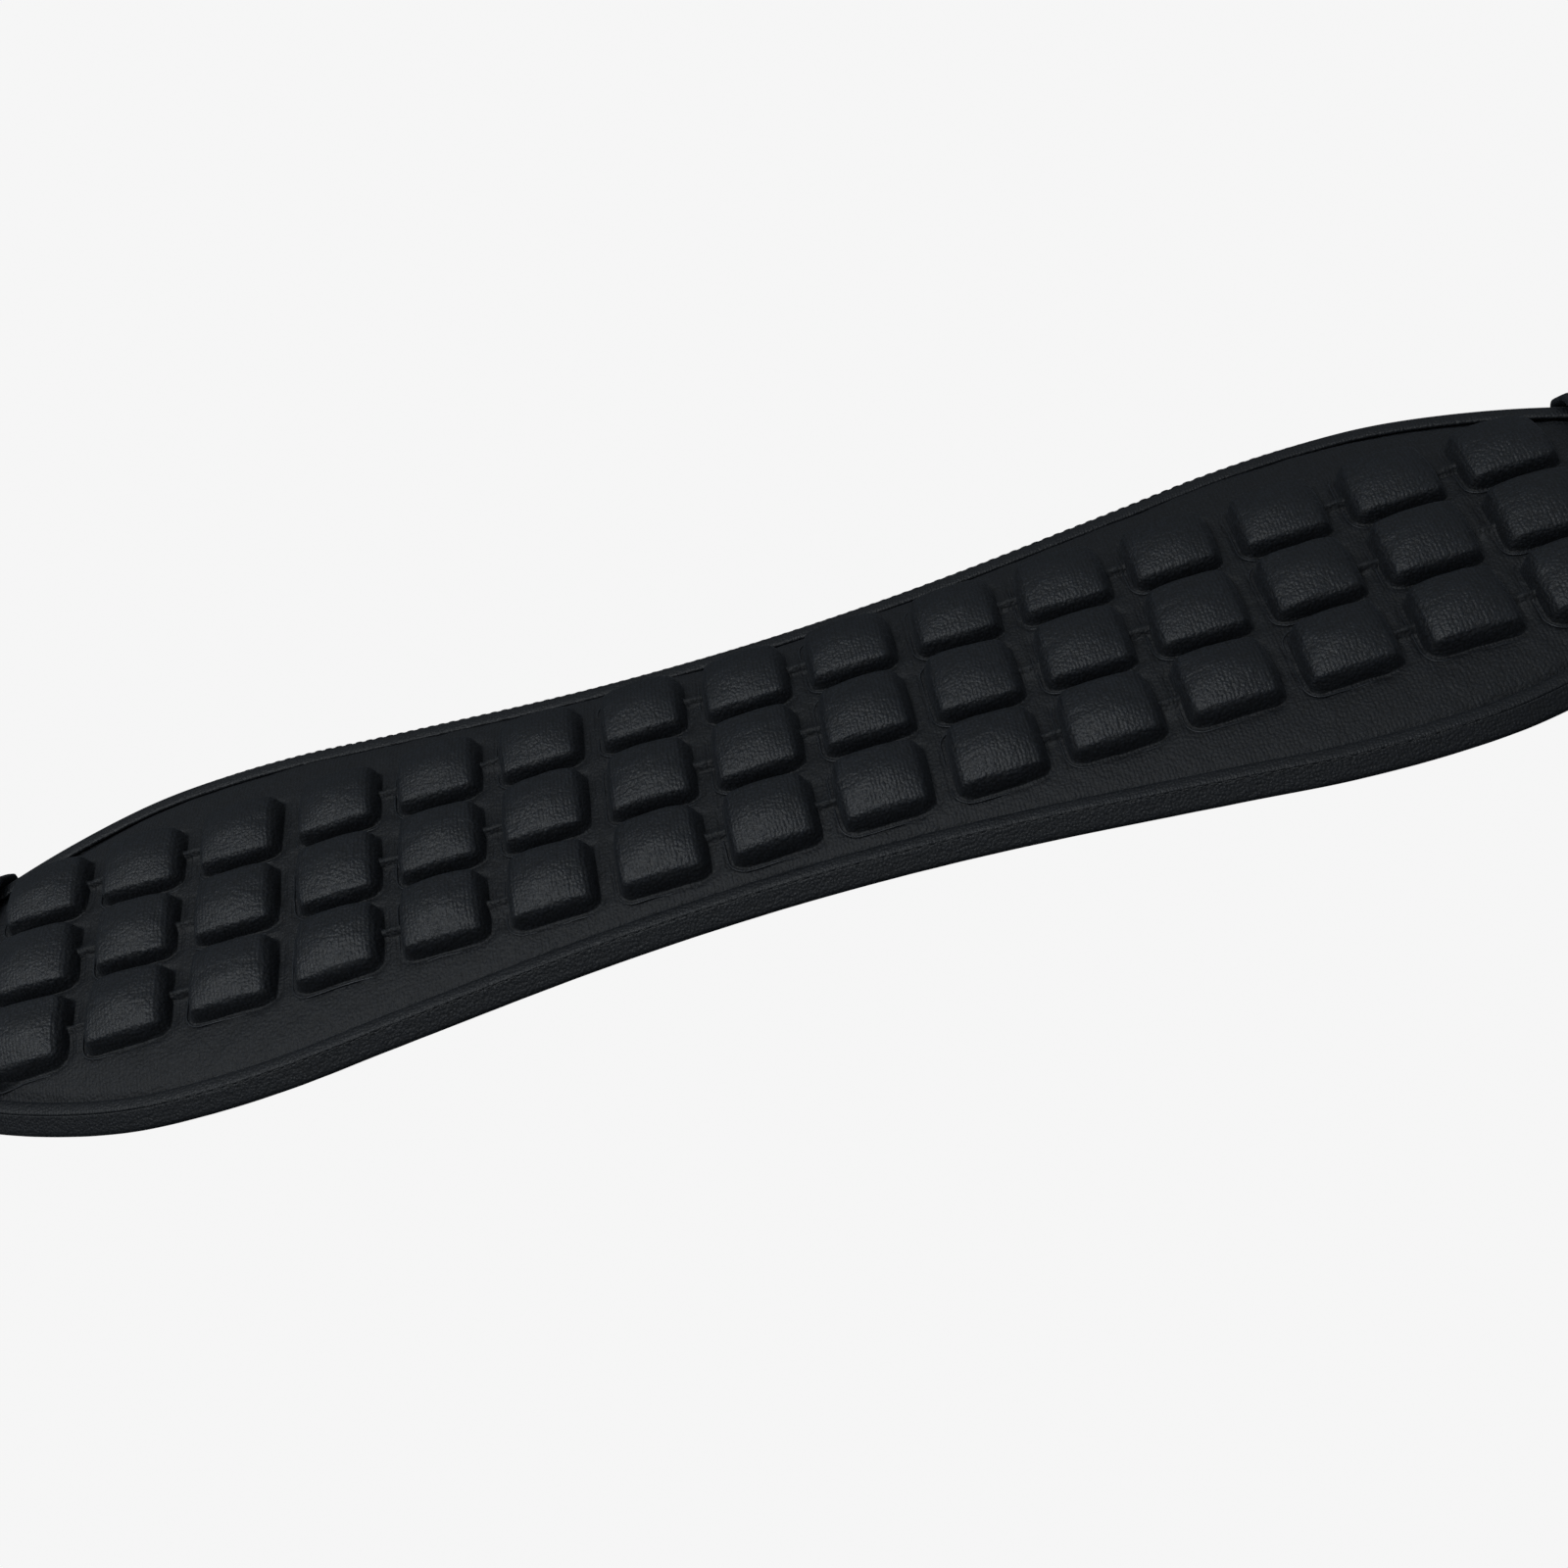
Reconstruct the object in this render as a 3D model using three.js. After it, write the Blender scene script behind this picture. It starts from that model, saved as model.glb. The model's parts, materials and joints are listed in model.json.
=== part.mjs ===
// A padded wrist rest: an hourglass-shaped band of foam under a fabric cover, with 45 air cells
// that stand up through the cover in three rows, a corded edge, and a sewn cap on each end.
// Millimetres. +X runs along the band, +Y goes to the far side and +Z is up. The origin is on
// the surface that the rest lies on, under the middle.
import * as THREE from 'three';

// Air cells
const cellRows = 3;
const moduleCount = 5;
const columnsPerModule = 3;
const columnPitch = 24;
const rowPitch = 19.5;
const cellLength = 18.6; // along X, at the foot
const cellDepth = 15.1; // along Y, at the foot
const cellHeight = 5.3;
const cellWallLean = 2.1; // how far a wall leans in from foot to top
const cellShoulderDrop = 0.8; // how much lower a cell's front and back edges are than its middle
const linkWidth = 4.2; // the low channel that joins two cells of a module
const linkHeight = 1.4;
const cellArrayShift = -1.4; // the cells sit a little nearer to the left cap

// Outline of the pad: half of its width at each distance from the middle
const outlineStations = [0, 40, 80, 120, 150, 165, 180, 196, 205, 208];
const outlineHalfWidths = [38.2, 39.7, 43.7, 47.7, 46.0, 42.0, 36.5, 28.0, 19.5, 11.5];
const halfLength = 208;
const bodySteps = 20; // the steps of an outline from one cap's open edge to the other's
const tipStations = [190, 197, 202, 205.5]; // the points of an outline round a tip

// Layers, from the table up
const gap = 0.3; // the clearance between neighbouring pieces
const gripThickness = 0.8;
const backCoverThickness = 0.5;
const supportFoamThickness = 0.8;
const filmThickness = 0.3;
const coverThickness = 0.8;
const creaseHeight = 5.0; // where the cover meets the corded edge
const crownRise = 3.0; // from the crease up to the feet of the middle cells
const crownPower = 2.6; // a flat middle with rounded sides
const endDrop = 0.2; // the share of the crown that is lost at the tips

// Corded edge, sloping side band and their seam, as distances in from the outline
const coverInset = 6.2;
const cordInset = 4.55;
const cordHalfWidth = 1.3;
const cordHalfHeight = 0.8;
const cordHeight = 4.9;
const cordSides = 6;
const bandFoot = 1.3; // the width of the side band's lower edge
const bandTopInset = 2.9;
const bandTopHeight = 4.6;
const bandTopDepth = 1.0; // the height of the side band's upper edge
const threadInset = 2.85;
const threadHeight = 5.15;
const threadRadius = 0.28;
const supportFoamInset = 2.9;
const comfortFoamInset = 8.0; // at the tips
const gripInset = 1.0;

// End caps
const capMouth = 182.8; // where a cap's open edge lies, from the middle
const capThickness = 2.0;
const capWallHeight = 2.6; // inside height of a cap's upright wall
const capShoulderInset = 3.3; // from the outline to the top of a cap's sloping side
const capRimHeight = 6.4; // inside height of a cap at the top of its sloping side
const capMiddleHeight = 8.5; // inside height of a cap at its middle
const capCornerShift = 0.41; // how far a corner of the section moves along, per thickness outwards
const capSeamInset = 3.5; // from the open edge to the row of stitches
const capSeamRadius = 0.35;

const columnCount = moduleCount * columnsPerModule;
const backCoverBottom = gripThickness + gap;
const backCoverTop = backCoverBottom + backCoverThickness;
const supportFoamBottom = backCoverTop + gap;
const supportFoamTop = supportFoamBottom + supportFoamThickness;
const comfortFoamBottom = supportFoamTop + gap;

// The depth of each inner surface below the face of the cover
const upperFilmDepth = coverThickness + gap;
const lowerFilmDepth = upperFilmDepth + filmThickness + gap;
const comfortFoamDepth = lowerFilmDepth + filmThickness + 2 * gap;

const materials = {
  fabric: new THREE.MeshStandardMaterial({ color: 0x24272d, roughness: 0.88, metalness: 0 }),
  edging: new THREE.MeshStandardMaterial({ color: 0x1c1f24, roughness: 0.82, metalness: 0 }),
  thread: new THREE.MeshStandardMaterial({ color: 0x2d3036, roughness: 0.7, metalness: 0 }),
  rubber: new THREE.MeshStandardMaterial({ color: 0x121316, roughness: 0.9, metalness: 0 }),
  foam: new THREE.MeshStandardMaterial({ color: 0x3c3e40, roughness: 1, metalness: 0 }),
  film: new THREE.MeshStandardMaterial({ color: 0x9aa3ab, roughness: 0.35, metalness: 0 }),
};

const rest = new THREE.Group();

function addPiece(name, geometry, material) {
  const piece = new THREE.Mesh(geometry, material);
  piece.name = name;
  rest.add(piece);
}

// Shape of the pad

const outlineCurve = new THREE.CubicInterpolant(outlineStations, outlineHalfWidths, 1);
outlineCurve.settings = {
  endingStart: THREE.ZeroSlopeEnding,
  endingEnd: THREE.ZeroCurvatureEnding,
};

// Half of the pad's width at x, for an outline that lies inset inside the true one.
function halfWidth(x, inset = 0) {
  const station = Math.min(Math.abs(x) * halfLength / (halfLength - inset), halfLength);
  return outlineCurve.evaluate(station)[0] - inset;
}

// How much of the crown is left at x: all of it up to the caps, less towards the tips.
function endTaper(x) {
  return 1 - endDrop * THREE.MathUtils.smoothstep(Math.abs(x), capMouth, halfLength);
}

// Height of the cover's face between the cells.
function crownHeight(x, y) {
  const across = Math.min(Math.abs(y) / halfWidth(x, coverInset), 1);
  return creaseHeight + crownRise * endTaper(x) * (1 - across ** crownPower);
}

// Distances from the middle where an outline needs a point, closer together round the tips.
function outlineSteps(limit) {
  const steps = [];
  for (let k = 0; k <= bodySteps; k += 1) {
    steps.push(capMouth * (2 * k / bodySteps - 1));
  }
  for (const x of [...tipStations, halfLength]) {
    steps.push(x);
    steps.unshift(-x);
  }
  return steps.filter((x) => Math.abs(x) <= limit);
}

// One loop round the pad, inset from its outline, at height z.
function outlineLoop(inset, z) {
  const shrink = (halfLength - inset) / halfLength;
  const farSide = outlineSteps(halfLength).map((x) => {
    return new THREE.Vector3(x * shrink, halfWidth(x * shrink, inset), z);
  });
  const nearSide = farSide.map((point) => new THREE.Vector3(point.x, -point.y, z));
  return [...nearSide, ...farSide.reverse()];
}

// Closed surfaces from rows of points

function geometryFrom(points, triangles) {
  const geometry = new THREE.BufferGeometry().setFromPoints(points);
  geometry.setIndex(triangles);
  geometry.computeVertexNormals();
  return geometry;
}

// Faces between rows of points. Every row is a closed loop with the same number of points.
function bandFaces(rows, ring) {
  const count = rows[0].length;
  const triangles = [];
  const last = ring ? rows.length : rows.length - 1;
  for (let r = 0; r < last; r += 1) {
    for (let k = 0; k < count; k += 1) {
      const a = r * count + k;
      const b = r * count + (k + 1) % count;
      const c = ((r + 1) % rows.length) * count + (k + 1) % count;
      const d = ((r + 1) % rows.length) * count + k;
      triangles.push(a, b, c, a, c, d);
    }
  }
  return triangles;
}

// A section swept round the outline. Its points are [inset, z], anticlockwise seen along a loop.
function sweepRound(section) {
  const rows = section.map(([inset, z]) => outlineLoop(inset, z));
  return geometryFrom(rows.flat(), bandFaces(rows, true));
}

// Loops joined in order, with the first and the last one filled in.
function loft(rows) {
  const count = rows[0].length;
  const points = rows.flat();
  const triangles = bandFaces(rows, false);
  const middleOf = (row) => {
    const sum = row.reduce((total, point) => total.add(point), new THREE.Vector3());
    return sum.divideScalar(row.length);
  };
  const first = points.push(middleOf(rows[0])) - 1;
  const last = points.push(middleOf(rows.at(-1))) - 1;
  const lastRow = (rows.length - 1) * count;
  for (let k = 0; k < count; k += 1) {
    const next = (k + 1) % count;
    triangles.push(first, next, k);
    triangles.push(last, lastRow + k, lastRow + next);
  }
  return geometryFrom(points, triangles);
}

// The solid between an upper and a lower sheet, each a grid of points over the same lines.
function sheetSolid(upper, lower) {
  const columns = upper.length;
  const rows = upper[0].length;
  const points = [...upper.flat(), ...lower.flat()];
  const under = columns * rows;
  const triangles = [];
  const addQuad = (a, b, c, d) => triangles.push(a, b, c, a, c, d);
  for (let i = 0; i + 1 < columns; i += 1) {
    for (let j = 0; j + 1 < rows; j += 1) {
      const a = i * rows + j;
      const b = a + rows;
      addQuad(a, b, b + 1, a + 1);
      addQuad(under + a, under + a + 1, under + b + 1, under + b);
    }
    const near = i * rows;
    const far = near + rows - 1;
    addQuad(under + near, under + near + rows, near + rows, near);
    addQuad(far, far + rows, under + far + rows, under + far);
  }
  for (let j = 0; j + 1 < rows; j += 1) {
    const right = (columns - 1) * rows + j;
    addQuad(j, j + 1, under + j + 1, under + j);
    addQuad(under + right, under + right + 1, right + 1, right);
  }
  return geometryFrom(points, triangles);
}

// A flat sheet with the pad's outline, cut off at limit.
function flatSheet(inset, bottom, thickness, limit = halfLength) {
  const shape = new THREE.Shape(outlineLoop(inset, 0).filter((point) => Math.abs(point.x) <= limit)
    .map((point) => new THREE.Vector2(point.x, point.y)));
  const geometry = new THREE.ExtrudeGeometry(shape, { depth: thickness, bevelEnabled: false });
  geometry.translate(0, 0, bottom);
  return geometry;
}

// Air cells

function columnX(column) {
  return (column - (columnCount - 1) / 2) * columnPitch + cellArrayShift;
}

function rowY(row) {
  return (row - (cellRows - 1) / 2) * rowPitch;
}

// The lines that cross a run of cells along X. wall is how thick the layers outside them are.
function columnLines(firstColumn, lastColumn, wall) {
  const lines = [];
  for (let column = firstColumn; column <= lastColumn; column += 1) {
    const foot = cellLength / 2 - wall;
    const sameModule = (other) => {
      return Math.floor(other / columnsPerModule) === Math.floor(column / columnsPerModule);
    };
    const x = columnX(column);
    lines.push({ x: x - foot, onCell: false, link: sameModule(column - 1) });
    lines.push({ x: x - foot + cellWallLean, onCell: true });
    lines.push({ x: x + foot - cellWallLean, onCell: true });
    lines.push({ x: x + foot, onCell: false, link: sameModule(column + 1) });
  }
  return lines;
}

// The lines that run along the rows: a cell's foot, its shoulder and the sides of its link.
function rowLines(wall) {
  const lines = [];
  for (let row = 0; row < cellRows; row += 1) {
    const foot = cellDepth / 2 - wall;
    const link = linkWidth / 2 - wall * 0.5;
    const shoulderTop = cellHeight - cellShoulderDrop;
    const y = rowY(row);
    lines.push({ y: y - foot, cell: 0, link: 0 });
    lines.push({ y: y - foot + cellWallLean, cell: shoulderTop, link: 0 });
    lines.push({ y: y - link, cell: cellHeight, link: linkHeight });
    lines.push({ y: y + link, cell: cellHeight, link: linkHeight });
    lines.push({ y: y + foot - cellWallLean, cell: shoulderTop, link: 0 });
    lines.push({ y: y + foot, cell: 0, link: 0 });
  }
  return lines;
}

function bumpHeight(columnLine, rowLine) {
  if (columnLine.onCell) {
    return rowLine.cell;
  }
  return columnLine.link ? rowLine.link : 0;
}

// One side of the cover: a grid of points over the whole top, depth below its face.
function coverSurface(depth) {
  const cells = columnLines(0, columnCount - 1, depth);
  const inner = rowLines(depth);
  const shrink = (halfLength - coverInset) / halfLength;
  const tipLines = [...tipStations, halfLength].map((station) => {
    return { x: station * shrink, onCell: false, link: false };
  });
  const leftTip = tipLines.map((line) => ({ ...line, x: -line.x })).reverse();
  const rimShares = [0.35, 0.7, 1];
  return [...leftTip, ...cells, ...tipLines].map((line) => {
    const edge = halfWidth(line.x, coverInset);
    const outermost = inner.at(-1).y;
    const squeeze = Math.min(1, (edge - gap) / outermost);
    const side = rimShares.map((share) => {
      return { y: THREE.MathUtils.lerp(outermost * squeeze, edge, share), cell: 0, link: 0 };
    });
    const farSide = side.map((point) => ({ ...point, y: -point.y })).reverse();
    const middle = inner.map((point) => ({ ...point, y: point.y * squeeze }));
    return [...farSide, ...middle, ...side].map((point) => {
      const z = crownHeight(line.x, point.y) + bumpHeight(line, point) - depth;
      return new THREE.Vector3(line.x, point.y, z);
    });
  });
}

// One side of a module's upper film, with a flat flange round its cells.
function filmSurface(module, depth) {
  const first = module * columnsPerModule;
  const last = first + columnsPerModule - 1;
  const flange = 2.0;
  const left = columnX(first) - cellLength / 2 - flange;
  const right = columnX(last) + cellLength / 2 + flange;
  const edge = rowY(cellRows - 1) + cellDepth / 2 + flange;
  const plain = { cell: 0, link: 0 };
  const columns = [
    { x: left, onCell: false },
    ...columnLines(first, last, depth),
    { x: right, onCell: false },
  ];
  const rows = [{ y: -edge, ...plain }, ...rowLines(depth), { y: edge, ...plain }];
  return columns.map((column) => rows.map((row) => {
    const limit = halfWidth(column.x, coverInset) - gap;
    const y = THREE.MathUtils.clamp(row.y, -limit, limit);
    const z = crownHeight(column.x, y) + bumpHeight(column, row) - depth;
    return new THREE.Vector3(column.x, y, z);
  }));
}

// One side of a module's lower film, which closes the cells from below.
function lowerFilmSurface(module, depth) {
  const columns = filmSurface(module, depth);
  const spans = columnsPerModule;
  const stations = [];
  for (let k = 0; k <= spans; k += 1) {
    stations.push(THREE.MathUtils.lerp(columns[0][0].x, columns.at(-1)[0].x, k / spans));
  }
  return stations.map((x) => columns[0].map((point) => {
    const limit = halfWidth(x, coverInset) - gap;
    const y = THREE.MathUtils.clamp(point.y, -limit, limit);
    return new THREE.Vector3(x, y, crownHeight(x, y) - depth);
  }));
}

// The crowned top of the foam, which follows the cover from below.
function foamTop() {
  const shares = [0.25, 0.5, 0.7, 0.85];
  const shrink = (halfLength - comfortFoamInset) / halfLength;
  return outlineSteps(halfLength).map((station) => {
    const x = station * shrink;
    const side = shares.map((share) => share * halfWidth(x, coverInset));
    const nearSide = side.map((y) => -y).reverse();
    return [...nearSide, 0, ...side].map((y) => {
      return new THREE.Vector3(x, y, crownHeight(x, y) - comfortFoamDepth);
    });
  });
}

// End caps

// The section of a cap at x, thickness outside its inner face. It runs round from the middle
// of the bottom, up one side, over the top and down the other.
function capSection(x, thickness, bottom) {
  const side = halfWidth(x) + gap + thickness;
  const wall = capWallHeight + capCornerShift * thickness;
  const shoulder = halfWidth(x) - capShoulderInset + capCornerShift * thickness;
  const rim = capRimHeight + thickness;
  const rise = (capMiddleHeight - capRimHeight) * endTaper(x);
  const cornerRadius = gap + thickness / 2;
  const half = [
    new THREE.Vector2(side * 0.5, bottom),
    new THREE.Vector2(side - cornerRadius, bottom),
    new THREE.Vector2(side, bottom + cornerRadius),
    new THREE.Vector2(side, wall),
    new THREE.Vector2(shoulder, rim),
  ];
  for (const share of [0.9, 0.75, 0.55, 0.3]) {
    half.push(new THREE.Vector2(shoulder * share, rim + rise * (1 - share ** crownPower)));
  }
  const mirrored = half.map((point) => new THREE.Vector2(-point.x, point.y)).reverse();
  const top = new THREE.Vector2(0, rim + rise);
  const middle = new THREE.Vector2(0, bottom);
  return [middle, ...half, top, ...mirrored];
}

function capLoop(x, thickness, bottom) {
  return capSection(x, thickness, bottom).map((point) => new THREE.Vector3(x, point.x, point.y));
}

// A cup that is open at the mouth. It runs from the inner end wall out to the mouth and back.
function endCap() {
  const innerStations = [halfLength + gap, ...tipStations.toReversed(), capMouth];
  const inside = innerStations.map((x) => capLoop(x, 0, gripThickness));
  const outside = innerStations.toReversed().map((x) => capLoop(x, capThickness, 0));
  for (const point of outside.at(-1)) {
    point.x += capThickness;
  }
  return loft([...inside, ...outside]);
}

// A row of stitches that runs up one side of a cap, over its top and down the other side.
function capSeam() {
  const x = capMouth + capSeamInset;
  const clearance = capThickness + gap + capSeamRadius;
  const path = capSection(x, clearance, 0).filter((point) => point.y > creaseHeight);
  const curve = new THREE.CatmullRomCurve3(path.map((point) => {
    return new THREE.Vector3(x, point.x, point.y);
  }));
  const section = new THREE.Shape().absarc(0, 0, capSeamRadius, 0, 2 * Math.PI, false);
  return new THREE.ExtrudeGeometry(section, { steps: 24, curveSegments: 3, extrudePath: curve });
}

// The left-hand copy of a piece that is made for the right-hand end.
function turned(geometry) {
  return geometry.clone().rotateZ(Math.PI);
}

// Assembly

const cordSection = [];
for (let k = 0; k < cordSides; k += 1) {
  const angle = 2 * Math.PI * (k + 0.5) / cordSides;
  cordSection.push([
    cordInset - cordHalfWidth * Math.cos(angle),
    cordHeight + cordHalfHeight * Math.sin(angle),
  ]);
}
const bandSection = [
  [0, backCoverTop + gap],
  [bandTopInset, bandTopHeight],
  [bandTopInset, bandTopHeight - bandTopDepth],
  [bandFoot, backCoverTop + gap],
];
const threadSection = [
  [threadInset - threadRadius, threadHeight],
  [threadInset, threadHeight + threadRadius],
  [threadInset + threadRadius, threadHeight],
  [threadInset, threadHeight - threadRadius],
];

const foamBase = foamTop().map((column) => column.map((point) => {
  return new THREE.Vector3(point.x, point.y, comfortFoamBottom);
}));

addPiece('grip_base', flatSheet(gripInset, 0, gripThickness, capMouth - gap), materials.rubber);
addPiece('back_cover', flatSheet(gap, backCoverBottom, backCoverThickness), materials.fabric);
addPiece(
  'support_foam',
  flatSheet(supportFoamInset, supportFoamBottom, supportFoamThickness),
  materials.foam,
);
addPiece('comfort_foam', sheetSolid(foamTop(), foamBase), materials.foam);
addPiece('side_band', sweepRound(bandSection), materials.edging);
addPiece('edge_piping', sweepRound(cordSection), materials.edging);
addPiece('edge_seam_thread', sweepRound(threadSection), materials.thread);
addPiece('top_cover', sheetSolid(coverSurface(0), coverSurface(coverThickness)), materials.fabric);

for (let module = 0; module < moduleCount; module += 1) {
  const upper = sheetSolid(
    filmSurface(module, upperFilmDepth),
    filmSurface(module, upperFilmDepth + filmThickness),
  );
  const lower = sheetSolid(
    lowerFilmSurface(module, lowerFilmDepth),
    lowerFilmSurface(module, lowerFilmDepth + filmThickness),
  );
  addPiece(`air_module_${module + 1}_upper_film`, upper, materials.film);
  addPiece(`air_module_${module + 1}_lower_film`, lower, materials.film);
}

addPiece('end_cap_right', endCap(), materials.edging);
addPiece('end_cap_left', turned(endCap()), materials.edging);
addPiece('end_cap_seam_right', capSeam(), materials.thread);
addPiece('end_cap_seam_left', turned(capSeam()), materials.thread);

export default rest;
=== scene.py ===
"""The finished look of a padded wrist rest: a knit cover formed over rows of air cells, a corded
edge, a stitched side band, sewn end caps and a dotted non-slip underside, round the fixed frame."""

import json
import math

import bmesh
import bpy
import numpy as np
from bpy.props import FloatProperty, FloatVectorProperty, IntProperty, PointerProperty
from mathutils import Matrix, Vector


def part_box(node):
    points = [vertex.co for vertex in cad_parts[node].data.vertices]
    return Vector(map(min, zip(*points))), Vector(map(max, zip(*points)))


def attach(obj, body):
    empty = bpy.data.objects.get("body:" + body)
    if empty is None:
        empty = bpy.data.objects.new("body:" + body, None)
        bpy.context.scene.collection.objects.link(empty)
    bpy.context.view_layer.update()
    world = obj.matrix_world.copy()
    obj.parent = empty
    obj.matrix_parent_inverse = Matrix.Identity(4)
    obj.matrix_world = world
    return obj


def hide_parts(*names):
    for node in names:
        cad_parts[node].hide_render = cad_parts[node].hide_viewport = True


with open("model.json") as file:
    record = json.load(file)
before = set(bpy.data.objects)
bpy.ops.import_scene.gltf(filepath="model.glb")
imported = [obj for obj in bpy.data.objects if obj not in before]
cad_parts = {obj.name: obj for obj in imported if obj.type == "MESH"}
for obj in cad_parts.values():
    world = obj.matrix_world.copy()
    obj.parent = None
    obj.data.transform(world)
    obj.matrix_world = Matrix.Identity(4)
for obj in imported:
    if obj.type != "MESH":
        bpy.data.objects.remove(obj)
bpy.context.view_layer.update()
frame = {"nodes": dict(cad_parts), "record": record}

bl_info = {
    "name": "Padded Wrist Rest",
    "version": (1, 0, 0),
    "blender": (4, 5, 0),
    "location": "View3D > Sidebar > Wrist Rest",
    "description": "Builds the soft parts, stitching and studio of a padded wrist rest",
    "category": "Object",
}

MM = 0.001
ROOT = "root"
SEED = 7


def length(name, description, default):
    """A length property in metres."""
    return FloatProperty(name=name, description=description, default=default, unit="LENGTH")


def colour(name, description, default):
    """A linear colour property."""
    return FloatVectorProperty(
        name=name, description=description, default=default, subtype="COLOR", min=0, max=1
    )


class RestSizes(bpy.types.PropertyGroup):
    """Sizes of the pad, its cells and its stitching."""

    columns: IntProperty(name="Columns", description="Air cells along the pad", default=15)
    rows: IntProperty(name="Rows", description="Air cells across the pad", default=3)
    module_columns: IntProperty(
        name="Columns in a module", description="Cells that share one air channel", default=3
    )
    column_pitch: length("Column pitch", "From one cell to the next, along the pad", 24 * MM)
    row_pitch: length("Row pitch", "From one cell to the next, across the pad", 20.1 * MM)
    array_shift: length("Cell array shift", "How far the cells sit off the middle", -1.7 * MM)
    cell_length: length("Cell length", "Along the pad, at the foot", 19.7 * MM)
    cell_depth: length("Cell depth", "Across the pad, at the foot", 17.2 * MM)
    cell_height: length("Cell height", "From the foot to the top", 5.4 * MM)
    cell_corner: length("Cell corner", "Corner radius in plan", 2.8 * MM)
    cell_shoulder: length("Cell shoulder", "How far in the rounded shoulder reaches", 1.5 * MM)
    cell_dome: length("Cell dome", "How far the middle of a cell stands above its shoulder", 2.0 * MM)
    link_half_width: length("Link half width", "Half of an air channel's width", 1.15 * MM)
    link_height: length("Link height", "How far an air channel stands up", 2.1 * MM)
    crown_rise: length("Crown rise", "From the crease to the feet of the middle cells", 3 * MM)
    crease_inset: length("Crease inset", "From the outline in to the crease", 6.2 * MM)
    seam_inset: length("Seam inset", "From the outline in to the stitched seam", 3.1 * MM)
    bead_height: length("Bead height", "How far the corded edge stands above the crease", 0.5 * MM)
    stitch_pitch: length("Stitch pitch", "From one stitch to the next", 2.6 * MM)
    stitch_radius: length("Stitch radius", "Half of the thread's thickness", 0.19 * MM)
    cap_thickness: length("Cap thickness", "Thickness of an end cap's padded wall", 2 * MM)
    weld_height: length("Weld height", "How far a cell's weld line stands up", 0.3 * MM)
    grip_dot_pitch: length("Grip dot pitch", "From one rubber dot to the next", 5 * MM)
    grip_dot_radius: length("Grip dot radius", "Half of a rubber dot's width", 1.4 * MM)


class RestColours(bpy.types.PropertyGroup):
    """Linear colours of the finishes."""

    cover: colour("Cover", "Knit cover", (0.0050, 0.0066, 0.0098))
    edging: colour("Edging", "Corded edge and side band", (0.0058, 0.0074, 0.0108))
    cap: colour("Cap", "End caps", (0.0110, 0.0132, 0.0170))
    # The weld line's own tone, set lighter than the cover as a painted highlight along each cell's foot.
    weld: colour("Weld line", "Cloth pressed smooth round a cell", (0.0150, 0.0175, 0.0225))
    thread: colour("Thread", "Sewing thread", (0.0045, 0.0055, 0.0075))
    rubber: colour("Rubber", "Non-slip underside", (0.0120, 0.0120, 0.0130))
    foam: colour("Foam", "Foam layers", (0.050, 0.052, 0.055))
    film: colour("Film", "Air cell film", (0.32, 0.36, 0.40))
    floor: colour("Floor", "Studio floor", (0.40, 0.40, 0.40))


def sizes():
    return bpy.context.scene.rest_sizes


def colours():
    return bpy.context.scene.rest_colours


# ---------------------------------------------------------------- shape of the pad


def smooth_curve(stations, values):
    """A smooth function through the given points."""
    slopes = np.gradient(values, stations)

    def value(x):
        k = np.clip(np.searchsorted(stations, x) - 1, 0, len(stations) - 2)
        span = stations[k + 1] - stations[k]
        t = (x - stations[k]) / span
        start = (1 + 2 * t) * (1 - t) ** 2 * values[k] + t * (1 - t) ** 2 * span * slopes[k]
        end = t * t * (3 - 2 * t) * values[k + 1] - t * t * (1 - t) * span * slopes[k + 1]
        return start + end

    return value


def read_outline():
    """The pad's half length and its half width at any station, from the lining sheet's edge."""
    edge = np.array([v.co for v in frame["nodes"]["back_cover"].data.vertices])
    edge = edge[(edge[:, 1] > 0)]
    inset = 0.3 * MM
    half = edge[:, 0].max() + inset
    by_station = {round(float(x), 6): float(y) for x, y, _ in edge}
    stations = np.array(sorted(by_station))
    widths = np.array([by_station[x] for x in stations]) + inset
    return half, smooth_curve(stations * half / (half - inset), widths)


HALF_LENGTH, OUTLINE = read_outline()
COVER_THICKNESS = 0.8 * MM
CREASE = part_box("top_cover")[0].z + COVER_THICKNESS
SEAM_HEIGHT = CREASE + 0.05 * MM
CAP_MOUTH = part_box("end_cap_right")[0].x
CAP_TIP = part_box("end_cap_right")[1].x
CAP_SETBACK = 1.2 * MM
CAP_HEM = CAP_SETBACK + 3.5 * MM
PUCKERS = 46
CROWN_POWER = 4.5
END_DROP = 0.2
END_ROUNDING = 0.65
DOME_LEAN = 0.22
DOME_POWER = 3.2
CELL_UNEVENNESS = 0.022
LINK_WANDER = 0.35 * MM
WELD_DRAW = 0.22


def half_width(x, inset=0.0):
    """Half of the pad's width at x, for a line that lies inset inside its outline."""
    station = np.clip(np.asarray(x) * HALF_LENGTH / (HALF_LENGTH - inset), -HALF_LENGTH, HALF_LENGTH)
    return OUTLINE(station) - inset


def end_taper(x):
    """How much of the crown is left at x."""
    t = np.clip((np.abs(x) - CAP_MOUTH) / (HALF_LENGTH - CAP_MOUTH), 0, 1)
    return 1 - END_DROP * t * t * (3 - 2 * t)


def crown(x, y):
    """Height of the cover between the cells."""
    s = sizes()
    across = np.clip(np.abs(y) / half_width(x, s.crease_inset), 0, 1)
    return CREASE + s.crown_rise * end_taper(x) * (1 - across**CROWN_POWER)


def smoothstep(t):
    """A soft step from 0 to 1."""
    t = np.clip(t, 0, 1)
    return t * t * (3 - 2 * t)


def ring_angles(count):
    """Angles spread evenly round a full turn."""
    return [2 * math.pi * k / count for k in range(count)]


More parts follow.
